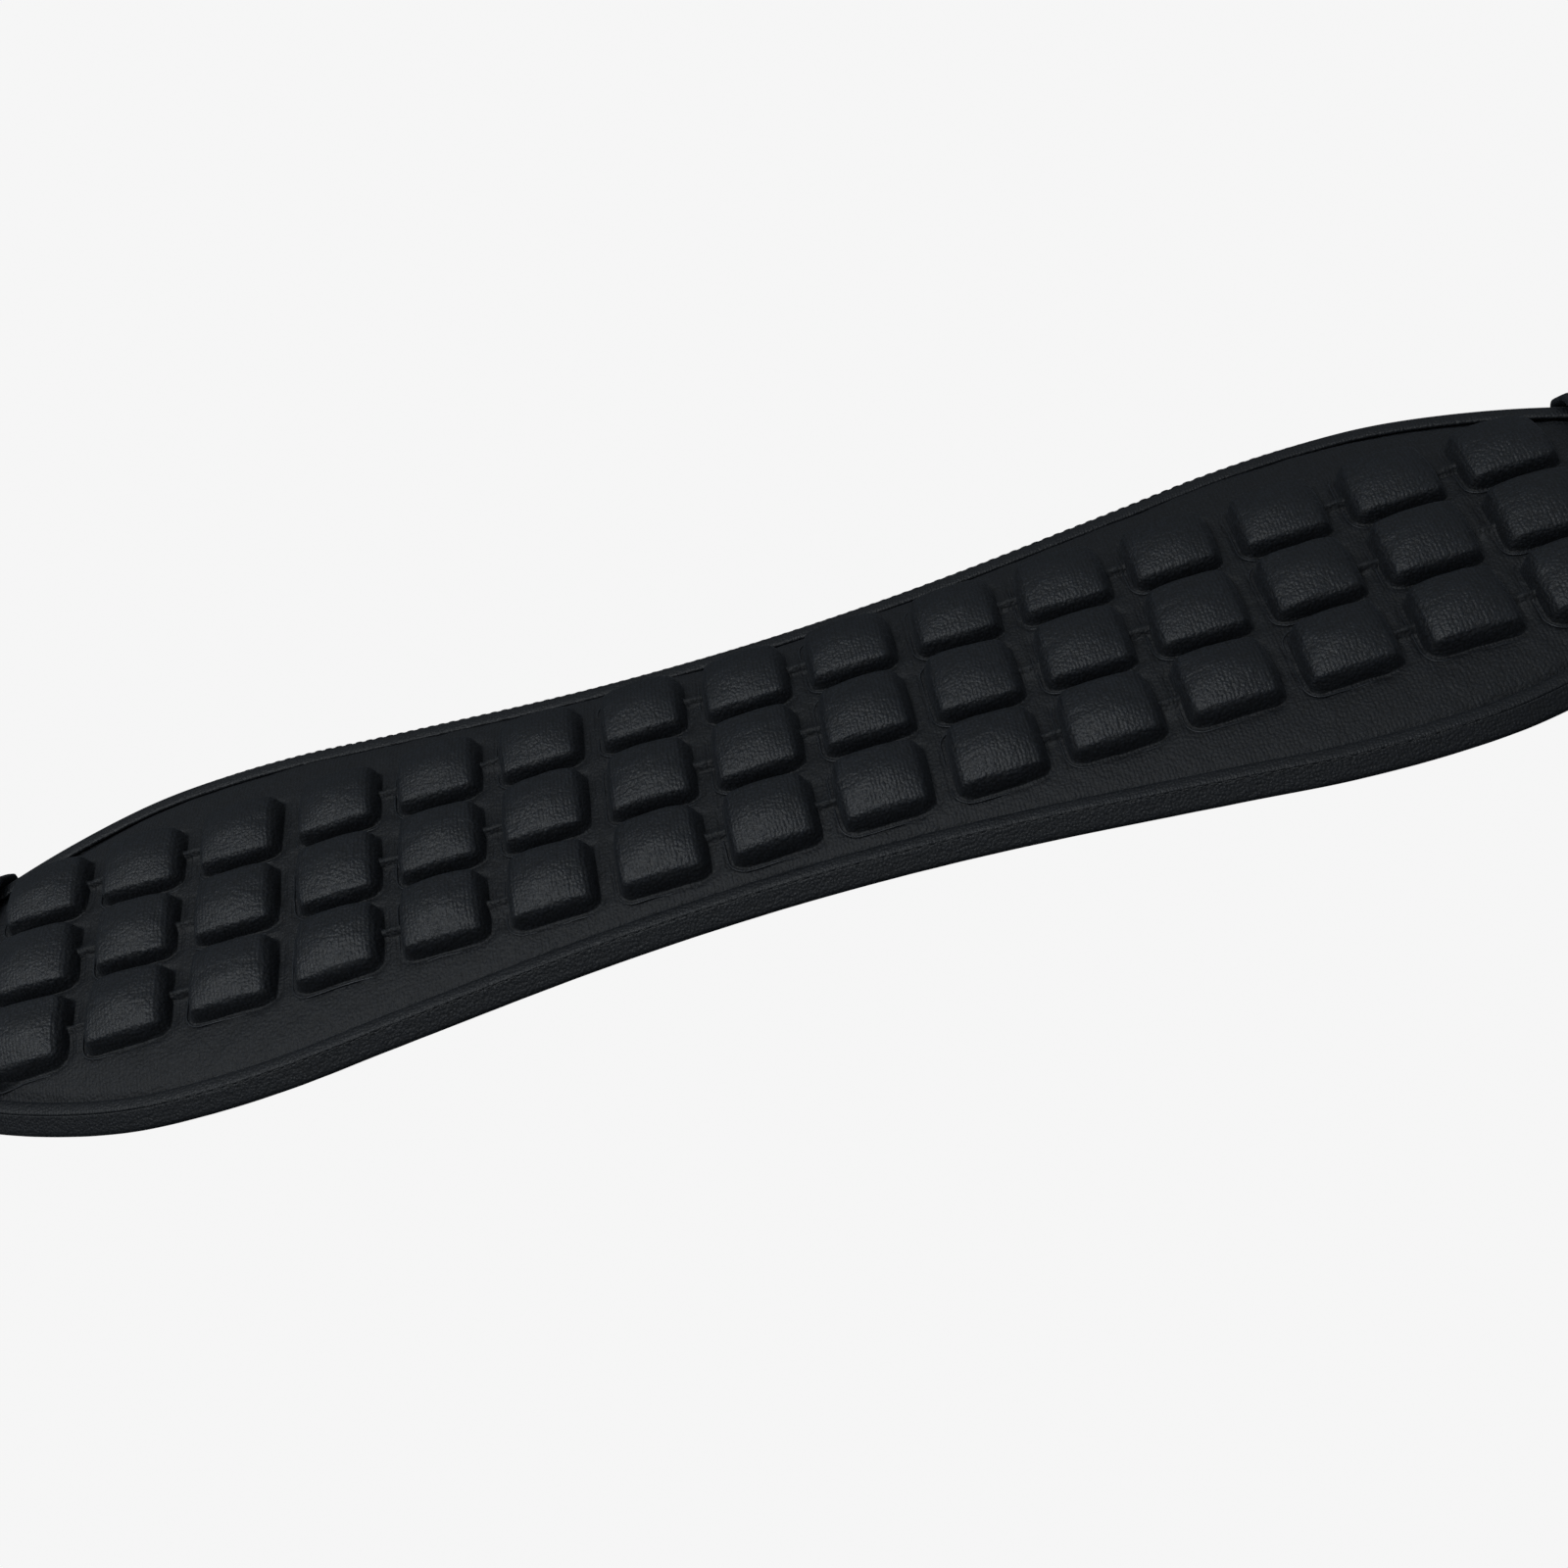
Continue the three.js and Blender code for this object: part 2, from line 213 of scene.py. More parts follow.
def rounded(value):
    """A sine or cosine bent so that the circle it draws is flatter on its four sides."""
    return math.copysign(abs(value) ** 0.75, value)


def column_middles():
    """Where each column of cells has its middle, along the pad."""
    s = sizes()
    return [(column - (s.columns - 1) / 2) * s.column_pitch + s.array_shift for column in range(s.columns)]


def row_middles():
    """Where each row of cells has its middle, across the pad."""
    s = sizes()
    return [(row - (s.rows - 1) / 2) * s.row_pitch for row in range(s.rows)]


def cell_places():
    """The column of every cell with the middle of its foot."""
    for column, x in enumerate(column_middles()):
        for y in row_middles():
            yield column, x, y


def inside_cell(x, y):
    """Distance in from the edge of a cell's rounded foot, shortened along the pad, so that a cell's
    ends are rounder than its sides."""
    s = sizes()
    corner = s.cell_corner
    qx = (np.abs(x) - s.cell_length / 2) * END_ROUNDING + corner
    qy = np.abs(y) - s.cell_depth / 2 + corner
    outside = np.hypot(np.maximum(qx, 0), np.maximum(qy, 0))
    return corner - outside - np.minimum(np.maximum(qx, qy), 0)


def cell_field(x, y):
    """Height of the cells and their air channels above the crown, and the distance in from the
    nearest cell's edge."""
    s = sizes()
    uneven = np.random.default_rng(SEED)
    height = np.zeros_like(x)
    inside = np.full_like(x, -1.0)
    for column, cx, cy in cell_places():
        near = (np.abs(x - cx) < s.column_pitch * 0.7) & (np.abs(y - cy) < s.row_pitch * 0.7)
        u, v = x[near] - cx, y[near] - cy
        d = inside_cell(u, v)
        t = np.clip(d / s.cell_shoulder, 0, 1)
        wall = (1 - (1 - t) ** 2.4) ** (1 / 2.2)
        a = np.clip(2 * u / s.cell_length, -1, 1)
        b = np.clip(2 * v / s.cell_depth, -1, 1)
        dome = (1 - np.abs(a) ** DOME_POWER) * (1 - ((b - DOME_LEAN) / (1 + DOME_LEAN)) ** 2)
        lean_x, lean_y, full = uneven.normal(0, CELL_UNEVENNESS, 3)
        lean = 1 + lean_x * a + lean_y * b + full
        bump = (s.cell_height - s.cell_dome + s.cell_dome * dome) * wall * lean
        height[near] = np.maximum(height[near], bump)
        inside[near] = np.maximum(inside[near], d)
        bend = uneven.normal(0, LINK_WANDER)
        if (column + 1) % s.module_columns:
            link = (x > cx) & (x < cx + s.column_pitch) & (np.abs(y - cy) < 2 * s.link_half_width)
            share = (x[link] - cx) / s.column_pitch
            off = np.abs(y[link] - cy - bend * np.sin(share * math.pi)) / s.link_half_width
            profile = np.clip(1 - off**2, 0, 1) ** 0.7 * (1 - 0.2 * np.sin(share * math.pi))
            height[link] = np.maximum(height[link], s.link_height * profile)
    return height, inside


def cell_lines(middles, pitch, foot, top, rounding=1.0):
    """Grid lines across a run of cells, closest together at their feet and on their shoulders."""
    gap, reach = (pitch - foot) / 2, sizes().cell_shoulder / rounding
    climb = [gap * share for share in (-1, -0.55, -0.25, -0.08)]
    climb += [reach * share for share in (0, 0.03, 0.1, 0.22, 0.4, 0.62, 0.85, 1.1)]
    near = [offset - foot / 2 for offset in climb]
    offsets = near + top + [-offset for offset in near[:0:-1]]
    return [middle + offset for middle in middles for offset in offsets] + [middles[-1] + pitch / 2]


def smooth_noise(x, y, seed, shortest, longest):
    """Gentle waves in every direction, about 1 high."""
    draw = np.random.default_rng(seed)
    total = np.zeros_like(x)
    for _ in range(26):
        turn, phase = draw.uniform(0, 2 * math.pi, 2)
        wave = draw.uniform(shortest, longest)
        total += np.sin((x * math.cos(turn) + y * math.sin(turn)) * 2 * math.pi / wave + phase)
    return total / 3.6


def drifted(points):
    """The points after the small shifts that keep the rows from being perfectly straight."""
    x, y = points[:, 0], points[:, 1]
    moved = points.copy()
    for axis in range(2):
        moved[:, axis] += 0.16 * MM * smooth_noise(x, y, SEED + 21 + axis, 18 * MM, 60 * MM)
    return moved


def cloth_relief(x, y, inside):
    """Fine unevenness of the cloth, which is drawn down where it is welded round the cells."""
    foot = np.exp(-((inside + 0.5 * MM) / (0.7 * MM)) ** 2)
    ripple = smooth_noise(x, y, SEED + 3, 3 * MM, 11 * MM)
    return (ripple * (0.045 + 0.05 * foot) - WELD_DRAW * foot) * MM


# ---------------------------------------------------------------- mesh helpers


def new_piece(name, points, faces, slot, look=None, smooth=True):
    """An object of the given faces that rides on the frame, in its slot's finish or another look."""
    mesh = bpy.data.meshes.new(name)
    mesh.from_pydata([tuple(p) for p in points], [], faces)
    mesh.materials.append(finish(look or slot))
    if smooth:
        mesh.shade_smooth()
    piece = bpy.data.objects.new(name, mesh)
    bpy.context.scene.collection.objects.link(piece)
    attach(piece, ROOT)
    return piece


def grid_faces(columns, rows, wrap_columns=False, wrap_rows=False, start=0):
    """Quads over a grid of points that are stored one column after another."""
    faces = []
    for i in range(columns if wrap_columns else columns - 1):
        for j in range(rows if wrap_rows else rows - 1):
            a, b = i * rows, (i + 1) % columns * rows
            k = (j + 1) % rows
            faces.append((start + a + j, start + b + j, start + b + k, start + a + k))
    return faces


def closed_sheet(top, under):
    """Points and faces of a thin closed sheet between two grids of points."""
    columns, rows = top.shape[:2]
    count = columns * rows
    faces = grid_faces(columns, rows)
    faces += [face[::-1] for face in grid_faces(columns, rows, start=count)]
    rim = [i * rows for i in range(columns)] + [(columns - 1) * rows + j for j in range(1, rows)]
    rim += [i * rows + rows - 1 for i in range(columns - 2, -1, -1)] + list(range(rows - 2, 0, -1))
    for a, b in zip(rim, rim[1:] + rim[:1]):
        faces.append((a, a + count, b + count, b))
    return [tuple(point) for point in np.concatenate([top.reshape(-1, 3), under.reshape(-1, 3)])], faces


def subdivide(piece, levels):
    """Catmull-Clark subdivision, applied."""
    modifier = piece.modifiers.new("Rounding", "SUBSURF")
    modifier.levels = modifier.render_levels = levels
    apply_modifiers(piece)


def apply_modifiers(piece):
    """Makes a piece's modified mesh its own."""
    graph = bpy.context.evaluated_depsgraph_get()
    made = bpy.data.meshes.new_from_object(piece.evaluated_get(graph))
    piece.modifiers.clear()
    old = piece.data
    piece.data = made
    bpy.data.meshes.remove(old)


def positions(mesh):
    """All the vertex positions of a mesh."""
    flat = np.empty(len(mesh.vertices) * 3)
    mesh.vertices.foreach_get("co", flat)
    return flat.reshape(-1, 3)


def set_positions(mesh, points):
    """Moves every vertex of a mesh to its new point."""
    mesh.vertices.foreach_set("co", np.asarray(points, float).ravel())
    mesh.update()


def distances(path):
    """How far along a path each of its points lies."""
    return np.concatenate([[0], np.cumsum(np.linalg.norm(np.diff(path, axis=0), axis=1))])


def evenly_spaced(ring, count=None, spacing=None):
    """Points spread evenly along a closed flat ring, by their number or their spacing."""
    closed = np.concatenate([ring, ring[:1]])
    along = distances(closed)
    at = np.linspace(0, along[-1], count or int(round(along[-1] / spacing)), endpoint=False)
    return np.stack([np.interp(at, along, closed[:, k]) for k in range(2)], 1)


def outline_loop(inset, height, spacing=1.6 * MM):
    """Points round the pad, inset from its outline, evenly spaced, anticlockwise from above."""
    shrink = (HALF_LENGTH - inset) / HALF_LENGTH
    x = np.sin(np.linspace(-math.pi / 2, math.pi / 2, 1200)) * HALF_LENGTH * shrink
    y = half_width(x, inset)
    far = np.stack([x, y], 1)
    xy = evenly_spaced(np.concatenate([far[::-1], far * [1, -1]]), spacing=spacing)
    return np.column_stack([xy, np.full(len(xy), height)])


def loop_normals(loop):
    """Outward directions along a flat loop."""
    ahead = np.roll(loop, -1, axis=0) - np.roll(loop, 1, axis=0)
    normal = np.column_stack([ahead[:, 1], -ahead[:, 0], np.zeros(len(loop))])
    return normal / np.linalg.norm(normal, axis=1)[:, None]


def swept_ring(name, section, slot, spacing=1.6 * MM, ripple=0.0):
    """A closed section of (inset, height) points swept round the outline."""
    base = outline_loop(0, 0, spacing)
    normal = loop_normals(base)
    draw = np.random.default_rng(SEED + 1)
    waves = [(draw.integers(20, 160), draw.uniform(0, 6.3)) for _ in range(12)]
    turn = np.linspace(0, 2 * math.pi, len(base), endpoint=False)
    swell = sum(np.sin(n * turn + phase) for n, phase in waves) / len(waves)
    points = []
    middle = np.mean(section, axis=0)
    for k in range(len(base)):
        for inset, height in section:
            grow = 1 + ripple * swell[k]
            off = middle[0] + (inset - middle[0]) * grow
            up = middle[1] + (height - middle[1]) * grow
            points.append(base[k] - normal[k] * off + np.array([0, 0, up]))
    faces = grid_faces(len(base), len(section), True, True)
    return new_piece(name, points, [face[::-1] for face in faces], slot)


def capsule(start, end, up, radius, sides=6):
    """A stitch: a thread that rises out of the cloth, runs along it and dives back in."""
    start, end, up = np.array(start), np.array(end), np.array(up)
    along = end - start
    reach = np.linalg.norm(along)
    along /= reach
    side = np.cross(along, up)
    points, faces = [], []
    shares = (0.0, 0.12, 0.3, 0.5, 0.7, 0.88, 1.0)
    for share in shares:
        rise = math.sin(share * math.pi) ** 0.5 * 1.1 - 0.7
        thick = radius * (0.55 + 0.45 * math.sin(share * math.pi) ** 0.4)
        centre = start + along * reach * share + up * radius * rise
        for angle in ring_angles(sides):
            points.append(centre + side * thick * math.cos(angle) + up * thick * math.sin(angle))
    faces = grid_faces(len(shares), sides, False, True)
    faces.append(tuple(range(sides)))
    faces.append(tuple(len(points) - 1 - k for k in range(sides)))
    return points, faces


def stitches_along(path, ups, pitch, radius, gap_share=0.22):
    """Stitches of one row along a path."""
    along = distances(path)
    count = max(1, int(along[-1] / pitch))
    step = along[-1] / count
    at = lambda distance, values: np.array([np.interp(distance, along, values[:, k]) for k in range(3)])
    points, faces = [], []
    for k in range(count):
        begin, finish = k * step, (k + 1 - gap_share) * step
        up = at((begin + finish) / 2, ups)
        made, sides = capsule(at(begin, path), at(finish, path), up / np.linalg.norm(up), radius)
        faces += [tuple(v + len(points) for v in face) for face in sides]
        points += made
    return points, faces


# ---------------------------------------------------------------- finishes


def new_material(name):
    """A new material, its node tree, its surface shader and the point that its textures start from."""
    material = bpy.data.materials.new(name)
    material.use_nodes = True
    tree = material.node_tree
    point = add_node(tree, "ShaderNodeTexCoord").outputs["Object"]
    return material, tree, tree.nodes["Principled BSDF"], point


def add_node(tree, kind, inputs=None, **settings):
    """A node with its settings, and its inputs given by value or by the socket they come from."""
    node = tree.nodes.new(kind)
    for key, value in settings.items():
        setattr(node, key, value)
    for key, value in (inputs or {}).items():
        if isinstance(value, bpy.types.NodeSocket):
            tree.links.new(value, node.inputs[key])
        else:
            node.inputs[key].default_value = value
    return node


def blend_values(tree, low, high, factor, start=0.0, end=1.0):
    """A value that runs from low to high while factor runs from start to end."""
    inputs = {"Value": factor, "From Min": start, "From Max": end, "To Min": low, "To Max": high}
    return add_node(tree, "ShaderNodeMapRange", inputs).outputs[0]


def tinted(tree, colour_value, factor):
    """A colour made darker or lighter by a factor round 1."""
    inputs = {0: tuple(colour_value), "Scale": factor}
    return add_node(tree, "ShaderNodeVectorMath", inputs, operation="SCALE").outputs[0]


def multiply(tree, first, second):
    return add_node(tree, "ShaderNodeMath", {0: first, 1: second}, operation="MULTIPLY").outputs[0]


def add_values(tree, first, second):
    return add_node(tree, "ShaderNodeMath", {0: first, 1: second}, operation="ADD").outputs[0]


def noise(tree, point, size, detail=2.0):
    """Soft noise from 0 to 1 whose lumps are about as wide as size."""
    inputs = {"Vector": point, "Scale": 0.6 / size, "Detail": detail, "Roughness": 0.6}
    return add_node(tree, "ShaderNodeTexNoise", inputs).outputs[0]


def dress(tree, shader, tone, shade, gloss, relief, depth, strength=0.8):
    """Links a finish's colour, roughness and relief to its surface shader."""
    tree.links.new(tinted(tree, tone, shade), shader.inputs["Base Color"])
    tree.links.new(gloss, shader.inputs["Roughness"])
    bump = add_node(tree, "ShaderNodeBump", {"Height": relief, "Distance": depth, "Strength": strength})
    tree.links.new(bump.outputs[0], shader.inputs["Normal"])


def cloth_sheen(shader, weight, roughness, specular):
    """The soft bluish sheen that all the cloths share."""
    shader.inputs["Specular IOR Level"].default_value = specular
    shader.inputs["Sheen Weight"].default_value = weight
    shader.inputs["Sheen Roughness"].default_value = roughness
    shader.inputs["Sheen Tint"].default_value = (0.80, 0.88, 1.0, 1)


def knit_material(name, tone, stitch=0.8 * MM, depth=0.2 * MM, sheen=0.06, rough=0.6, contrast=0.58):
    """A fine knit: rows of loops with fuzz and slubs over them, and raised places painted lighter, partly as
    wear and partly as painted sheen.
    Where the mesh marks the cloth as stretched over the cells, it is smoother, and it is painted lighter as
    painted light on the cell tops, which leaves the flats between them in painted shade."""
    # Painted light: how much lighter the cell tops are painted than the flats between them.
    painted_top_light = 1.35
    stretched_gloss = 0.72
    material, tree, shader, point = new_material(name)
    loops = add_node(
        tree, "ShaderNodeTexVoronoi", {"Vector": point, "Scale": 1 / stitch, "Randomness": 0.8}
    ).outputs["Distance"]
    wales = add_node(
        tree, "ShaderNodeTexWave",
        {"Vector": point, "Scale": 0.314 / stitch, "Distortion": 2.0, "Detail": 2.0, "Detail Scale": 1.5},
        bands_direction="X",
    ).outputs["Fac"]
    stretched = add_node(tree, "ShaderNodeMapping", {"Vector": point, "Scale": (1, 0.45, 1)}).outputs[0]
    slubs = noise(tree, stretched, 0.9 * MM)
    fuzz = noise(tree, point, 0.3 * MM, 3.0)
    patches = noise(tree, point, 14 * MM)
    relief = multiply(tree, loops, -0.9)
    for layer, share in ((wales, 0.18), (slubs, 0.6), (fuzz, 1.0)):
        relief = add_values(tree, relief, multiply(tree, layer, share))
    # Raised edges and shoulders are painted lighter: part wear, part painted sheen.
    edges = add_node(tree, "ShaderNodeNewGeometry").outputs["Pointiness"]
    wear_and_sheen = blend_values(tree, 1.0, 1.25, edges, 0.5, 0.56)
    shade = blend_values(tree, 1 - contrast, 1 + contrast, relief, 0.2, 1.1)
    shade = multiply(tree, shade, blend_values(tree, 0.88, 1.12, patches))
    shade = multiply(tree, shade, wear_and_sheen)
    stretch_and_painted_light = add_node(tree, "ShaderNodeAttribute", attribute_name="stretch_and_painted_light").outputs["Fac"]
    # Painted light on the cell tops, with painted shade on the flats between them.
    shade = multiply(tree, shade, blend_values(tree, 1.0, painted_top_light, stretch_and_painted_light))
    gloss = blend_values(tree, rough - 0.12, rough + 0.12, fuzz)
    gloss = multiply(tree, gloss, blend_values(tree, 1.0, stretched_gloss, stretch_and_painted_light))
    dress(tree, shader, tone, shade, gloss, relief, depth)
    cloth_sheen(shader, sheen, 0.4, 0.5)
    return material


def woven_material(name, tone, thread=0.55 * MM, depth=0.16 * MM, sheen=0.08, rough=0.6):
    """A plain weave of threads over and under each other, with uneven dye."""
    material, tree, shader, point = new_material(name)
    inputs = {"Vector": point, "Scale": 0.157 / thread, "Distortion": 0.6, "Detail": 1.0, "Detail Scale": 3.0}
    warp, weft, climb = [
        add_node(tree, "ShaderNodeTexWave", inputs, bands_direction=axis).outputs["Fac"] for axis in "XYZ"
    ]
    fibres = noise(tree, point, 0.25 * MM, 4.0)
    patches = noise(tree, point, 15 * MM)
    relief = add_node(tree, "ShaderNodeMath", {0: warp, 1: weft}, operation="MAXIMUM").outputs[0]
    relief = add_values(tree, multiply(tree, relief, 0.75), multiply(tree, climb, 0.25))
    relief = add_values(tree, multiply(tree, relief, 0.6), multiply(tree, fibres, 0.5))
    shade = multiply(tree, blend_values(tree, 0.68, 1.3, relief), blend_values(tree, 0.88, 1.12, patches))
    dress(tree, shader, tone, shade, blend_values(tree, rough - 0.1, rough + 0.1, fibres), relief, depth)
    cloth_sheen(shader, sheen, 0.45, 0.3)
    return material


def thread_material(name, tone):
    """Twisted thread: slanted fine strands with a soft shine."""
    material, tree, shader, point = new_material(name)
    strands = add_node(
        tree, "ShaderNodeTexWave", {"Vector": point, "Scale": 0.314 / (0.3 * MM), "Distortion": 0.5},
        bands_direction="DIAGONAL",
    ).outputs["Fac"]
    fibres = noise(tree, point, 0.2 * MM, 3.0)
    shade = multiply(tree, blend_values(tree, 0.7, 1.3, strands), blend_values(tree, 0.85, 1.15, fibres))
    dress(tree, shader, tone, shade, blend_values(tree, 0.45, 0.62, fibres), strands, 0.06 * MM)
    shader.inputs["Sheen Weight"].default_value = 0.2
    return material


def rubber_material(name, tone):
    """Moulded rubber with a matt skin, fine pits and a dusty bloom."""
    material, tree, shader, point = new_material(name)
    pits = noise(tree, point, 0.4 * MM, 4.0)
    bloom = noise(tree, point, 9 * MM, 3.0)
    shade = multiply(tree, blend_values(tree, 0.75, 1.3, bloom), blend_values(tree, 0.9, 1.1, pits))
    dress(tree, shader, tone, shade, blend_values(tree, 0.55, 0.8, bloom), pits, 0.05 * MM, 0.6)
    return material


def foam_material(name, tone, cell):
    """Foam whose cut cells are open on the surface."""
    material, tree, shader, point = new_material(name)
    pores = add_node(tree, "ShaderNodeTexVoronoi", {"Vector": point, "Scale": 1 / cell}).outputs["Distance"]
    patches = noise(tree, point, 12 * MM)
    shade = multiply(tree, blend_values(tree, 0.6, 1.25, pores), blend_values(tree, 0.9, 1.1, patches))
    dress(tree, shader, tone, shade, blend_values(tree, 0.85, 1.0, patches), pores, cell / 2)
    return material


def film_material(name, tone):
    """Smooth welded film with slight ripples and a little haze."""
    material, tree, shader, point = new_material(name)
    haze = noise(tree, point, 8 * MM, 3.0)
    shade, gloss = blend_values(tree, 0.85, 1.15, haze), blend_values(tree, 0.18, 0.4, haze)
    dress(tree, shader, tone, shade, gloss, haze, 0.3 * MM, 0.4)
    return material


def floor_material(name, tone):
    """Pale studio paper with a faint unevenness."""
    material, tree, shader, point = new_material(name)
    cloud = noise(tree, point, 0.4)
    tree.links.new(tinted(tree, tone, blend_values(tree, 0.99, 1.01, cloud)), shader.inputs["Base Color"])
    shader.inputs["Roughness"].default_value = 0.9
    shader.inputs["Specular IOR Level"].default_value = 0.1
    shader.inputs["Emission Color"].default_value = (1, 1, 1, 1)
    shader.inputs["Emission Strength"].default_value = 0.92
    return material


def finish(slot):
    """The finish of a record slot, made once."""
    c = colours()
    name = f"{slot}_finish"
    makers = {
        "cover_fabric": lambda: knit_material(name, c.cover),
        "edge_fabric": lambda: knit_material(name, c.edging, 0.65 * MM, 0.16 * MM, 0.06, 0.5, 0.42),
        # Weld lines: a lighter tone as a painted highlight.
        "weld_line": lambda: knit_material(name, c.weld, 0.5 * MM, 0.05 * MM, 0.1, 0.4, 0.3),
        "cap_fabric": lambda: woven_material(name, c.cap, 0.42 * MM),
        "back_fabric": lambda: woven_material(name, c.cap, 0.4 * MM, 0.1 * MM, 0.1, 0.75),
        "grip_rubber": lambda: rubber_material(name, c.rubber),
        "support_foam": lambda: foam_material(name, c.foam, 0.5 * MM),
        "comfort_foam": lambda: foam_material(name, c.foam, 1.1 * MM),
        "air_film": lambda: film_material(name, c.film),
        "thread": lambda: thread_material(name, c.thread),
    }
    return bpy.data.materials.get(name) or makers[slot]()


# ---------------------------------------------------------------- pieces


def swell_cloth(piece, free, pressure, reach, excess):
    """Blows the cloth up where free is above 0 and moves no point further than reach."""
    scale = 20.0
    frames = 20
    pin_levels = 10
    start = positions(piece.data)
    sheet = piece.copy()
    sheet.data = piece.data.copy()
    sheet.parent = None
    bpy.context.scene.collection.objects.link(sheet)
    set_positions(sheet.data, start * scale)
    pins = sheet.vertex_groups.new(name="pins")
    for level in range(1, pin_levels + 1):
        chosen = np.flatnonzero(np.round((1 - free) * pin_levels).astype(int) == level)
        if len(chosen):
            pins.add(chosen.tolist(), level / pin_levels, "REPLACE")
    modifier = sheet.modifiers.new("Cloth", "CLOTH")
    cloth = modifier.settings
    cloth.quality = 4
    cloth.mass = 0.2
    cloth.tension_stiffness = cloth.compression_stiffness = 12
    cloth.shear_stiffness = 4
    cloth.bending_stiffness = 0.6
    cloth.air_damping = 3
    cloth.use_pressure = True
    cloth.uniform_pressure_force = pressure
    cloth.shrink_min = -excess
    cloth.vertex_group_mass = "pins"
    cloth.pin_stiffness = 3
    cloth.effector_weights.gravity = 0
    modifier.collision_settings.use_collision = False
    modifier.collision_settings.use_self_collision = False
    scene = bpy.context.scene
    for moment in range(1, frames + 1):
        scene.frame_set(moment)
    made = sheet.evaluated_get(bpy.context.evaluated_depsgraph_get()).to_mesh()
    moved = positions(made) / scale - start
    scene.frame_set(1)
    distance = np.linalg.norm(moved, axis=1)
    limit = np.minimum(1, reach / np.maximum(distance, 1e-9))
    set_positions(piece.data, start + moved * (limit * np.clip(free * 1.5, 0, 1))[:, None])
    bpy.data.objects.remove(sheet)


class REST_OT_top_cover(bpy.types.Operator):
    """Builds the knit cover that is formed over the air cells"""

    bl_idname = "rest.top_cover"
    bl_label = "Top Cover"

    def execute(self, context):
        s = sizes()
        top = [-3.5 * MM, 0, 3.5 * MM]
        xs = cell_lines(column_middles(), s.column_pitch, s.cell_length, top, END_ROUNDING)
        reach = CAP_MOUTH + 7 * MM
        ends = np.linspace(-reach, xs[0], 5, endpoint=False), np.linspace(xs[-1], reach, 9)[1:]
        xs = [*ends[0], *xs, *ends[1]]
        link_lines = [share * s.link_half_width for share in (-2, -1.1, -0.75, -0.3, 0.3, 0.75, 1.1, 2)]
        ys = np.array(cell_lines(row_middles(), s.row_pitch, s.cell_depth, link_lines))
        side = np.array([0.1, 0.24, 0.4, 0.56, 0.7, 0.81, 0.89, 0.94, 0.97, 0.99, 1.0])
        under_cord = 1.5 * MM
        columns = []
        for x in xs:
            edge = float(half_width(x, s.crease_inset - under_cord))
            squeeze = min(1, (edge - 2.0 * MM) / ys[-1])
            out = ys[-1] * squeeze + (edge - ys[-1] * squeeze) * side
            across = np.concatenate([-out[::-1], ys * squeeze, out])
            columns.append(np.column_stack([np.full(len(across), x), across]))
        grid = np.array(columns)
        x, y = grid[..., 0], grid[..., 1]
        height, inside = cell_field(x, y)
        beyond = np.abs(y) - half_width(x, s.crease_inset)
        tuck = 0.9 * MM * smoothstep((beyond + 0.5 * MM) / (1.6 * MM))
        z = crown(x, y) + height - tuck
        points = np.stack([x, y, z], -1).reshape(-1, 3)
        faces = grid_faces(grid.shape[0], grid.shape[1])
        cover = new_piece("top_cover_knit", points, faces, "cover_fabric")
        free = smoothstep(inside.ravel() / (1.6 * MM))
        swell_cloth(cover, free, pressure=7.0, reach=0.6 * MM, excess=0.012)
        subdivide(cover, 1)
        self.crease(cover)
        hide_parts("top_cover")
        return {"FINISHED"}

    def crease(self, cover):
        """Adds the fine unevenness and marks where the knit is stretched over the cells, which the finish
        makes smoother and paints lighter as painted light on the cell tops.
        """
        points = positions(cover.data)
        x, y = points[:, 0], points[:, 1]
        _, inside = cell_field(x, y)
        points[:, 2] += cloth_relief(x, y, inside)
        set_positions(cover.data, drifted(points))
        # Marks the cell tops, for smoother cloth and for painted light there.
        stretch_and_painted_light = cover.data.attributes.new("stretch_and_painted_light", "FLOAT", "POINT")
        stretch_and_painted_light.data.foreach_set("value", smoothstep(inside / (1.5 * MM)))


def cell_outline(cx, cy, grow, count=72):
    """Points along a cell's rounded foot, grown outwards."""
    s = sizes()
    half_x, half_y = s.cell_length / 2 + grow, s.cell_depth / 2 + grow
    corner = s.cell_corner + grow
    turn = np.linspace(0, 2 * math.pi, 4 * count, endpoint=False)
    x = np.sign(np.cos(turn)) * (half_x - corner) + corner * np.cos(turn)
    y = np.sign(np.sin(turn)) * (half_y - corner) + corner * np.sin(turn)
    return evenly_spaced(np.column_stack([x, y]), count) + [cx, cy]


